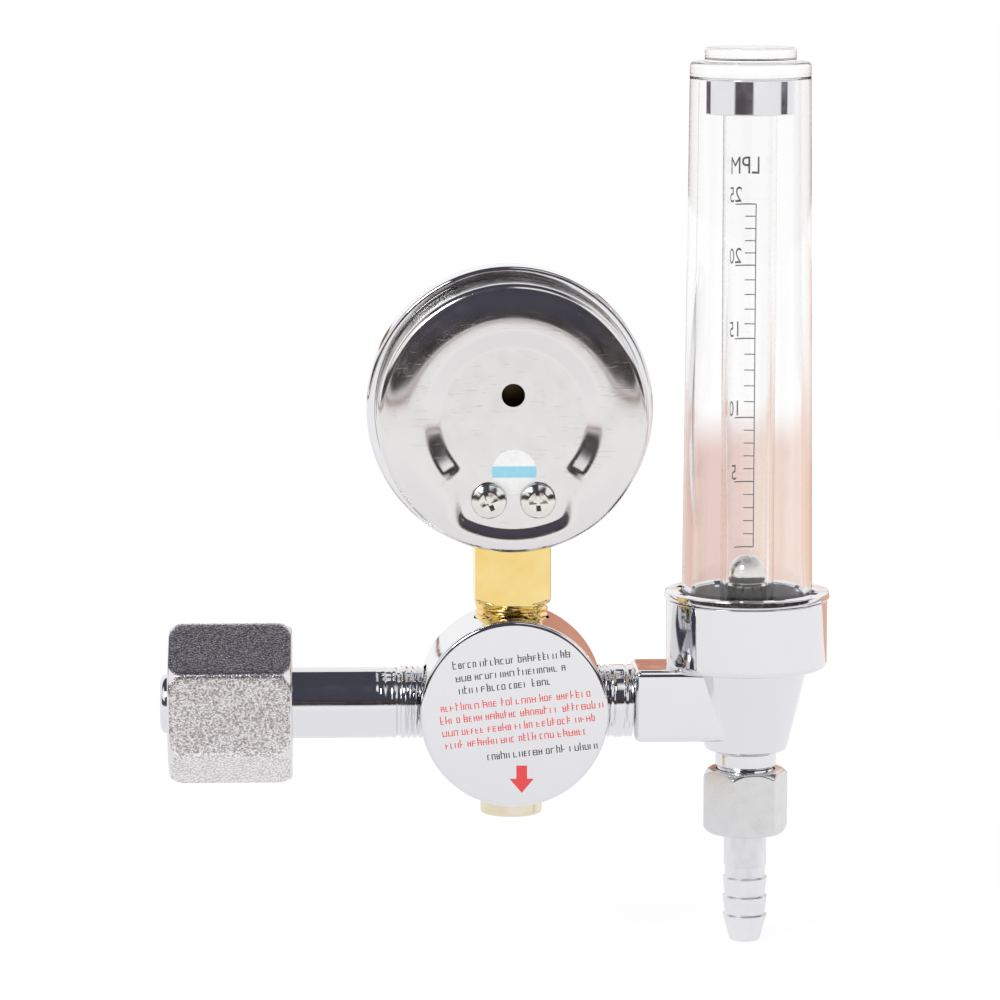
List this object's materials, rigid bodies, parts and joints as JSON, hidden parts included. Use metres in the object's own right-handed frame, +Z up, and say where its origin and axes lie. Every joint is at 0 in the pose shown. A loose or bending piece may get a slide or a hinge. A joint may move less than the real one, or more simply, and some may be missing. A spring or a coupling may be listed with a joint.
{
  "type": "argon flowmeter regulator",
  "caption": "Preset gas regulator with a hex inlet nut, round pressure gauge, and a clear ball flowmeter with needle valve and barbed hose tail.",
  "frame": {"origin": "centre of the inlet nut's open end, where the cylinder valve's face meets it", "axes": "+X along the gas inlet towards the flowmeter, +Z up along the flowmeter tube, +Y towards the gauge dial and the knob"},
  "size_m": [0.1509, 0.0509, 0.2023],
  "materials": {
    "chrome": "bright chrome plate",
    "satin_nickel": "satin plated forging",
    "pressed_steel": "bright pressed sheet",
    "brass": "machined",
    "aluminium": "satin",
    "steel": "polished",
    "clear_plastic": "clear moulded plastic",
    "window": "clear pane",
    "black_plastic": "moulded",
    "rubber": "moulded",
    "white_enamel": "satin white",
    "black_enamel": "satin black"
  },
  "bodies": {
    "regulator": {"inlet_stem": "chrome", "inlet_filter": "brass", "regulator_body": "chrome", "valve_nozzle": "brass", "poppet_spring": "steel", "diaphragm": "rubber", "range_spring": "steel", "spring_button": "steel", "preset_screw": "brass", "bonnet": "chrome", "relief_body": "brass", "relief_spring": "steel", "gauge_socket": "brass", "gauge_case": "pressed_steel", "case_screw_left": "steel", "case_screw_right": "steel", "gauge_bezel": "chrome", "gauge_window": "window", "gauge_dial": "white_enamel", "dial_screw_left": "steel", "dial_screw_right": "steel", "movement_back_plate": "brass", "movement_front_plate": "brass", "bourdon_tube": "brass", "outlet_nipple": "chrome", "flowmeter_body": "chrome", "cover_ring": "chrome", "outer_cover": "clear_plastic", "cover_seal": "rubber", "metering_tube": "clear_plastic", "tube_seal": "rubber", "ball_seat": "brass", "tube_bush": "chrome", "needle_packing": "rubber", "needle_gland": "brass", "outlet_adapter": "chrome", "hose_tail": "aluminium"},
    "inlet_nut": {"inlet_nut": "satin_nickel"},
    "needle": {"needle": "steel"},
    "knob": {"flow_knob": "black_plastic", "knob_screw": "steel"},
    "float": {"float_ball": "steel"},
    "pointer": {"gauge_pointer": "black_enamel", "pointer_spindle": "brass"},
    "sector": {"gauge_sector": "brass"},
    "valve": {"valve_poppet": "brass", "diaphragm_pusher": "brass", "spring_plate": "steel"},
    "relief": {"relief_poppet": "brass"},
    "outlet_nut": {"outlet_nut": "satin_nickel"}
  },
  "joints": [
    {"name": "inlet_nut_turn", "type": "hinge", "parent": "regulator", "child": "inlet_nut", "pos_m": [0, 0, 0], "axis": [1, 0, 0], "continuous": true},
    {"name": "needle_slide", "type": "slide", "parent": "regulator", "child": "needle", "axis": [0, 1, 0], "range_m": [0, 0.0016]},
    {"name": "knob_turn", "type": "hinge", "parent": "needle", "child": "knob", "pos_m": [0.1302, 0.015, 0], "axis": [0, 1, 0], "range_deg": [0, 722]},
    {"name": "float_rise", "type": "slide", "parent": "regulator", "child": "float", "axis": [0, 0, 1], "range_m": [0, 0.103]},
    {"name": "pointer_turn", "type": "hinge", "parent": "regulator", "child": "pointer", "pos_m": [0.0771, 0, 0.0653], "axis": [0, -1, 0], "range_deg": [0, 270], "stiffness_Nm_per_rad": 0.0005},
    {"name": "sector_turn", "type": "hinge", "parent": "regulator", "child": "sector", "pos_m": [0.08617, 0, 0.06107], "axis": [0, -1, 0], "range_deg": [-70, 0]},
    {"name": "valve_close", "type": "slide", "parent": "regulator", "child": "valve", "axis": [0, 1, 0], "range_m": [0, 0.0005], "stiffness_N_per_m": 500, "springref_m": -0.002, "deforming": ["range_spring", "poppet_spring", "diaphragm"]},
    {"name": "relief_lift", "type": "slide", "parent": "regulator", "child": "relief", "axis": [0, 0, -1], "range_m": [0, 0.0012], "stiffness_N_per_m": 500, "springref_m": -0.002, "deforming": ["relief_spring"]},
    {"name": "outlet_nut_turn", "type": "hinge", "parent": "regulator", "child": "outlet_nut", "pos_m": [0.1302, 0, -0.0303], "axis": [0, 0, 1], "continuous": true}
  ],
  "couplings": [
    {"joint": "knob_turn", "follows": "needle_slide", "rad_per_m": 7854},
    {"joint": "sector_turn", "follows": "pointer_turn", "ratio": -0.25}
  ]
}
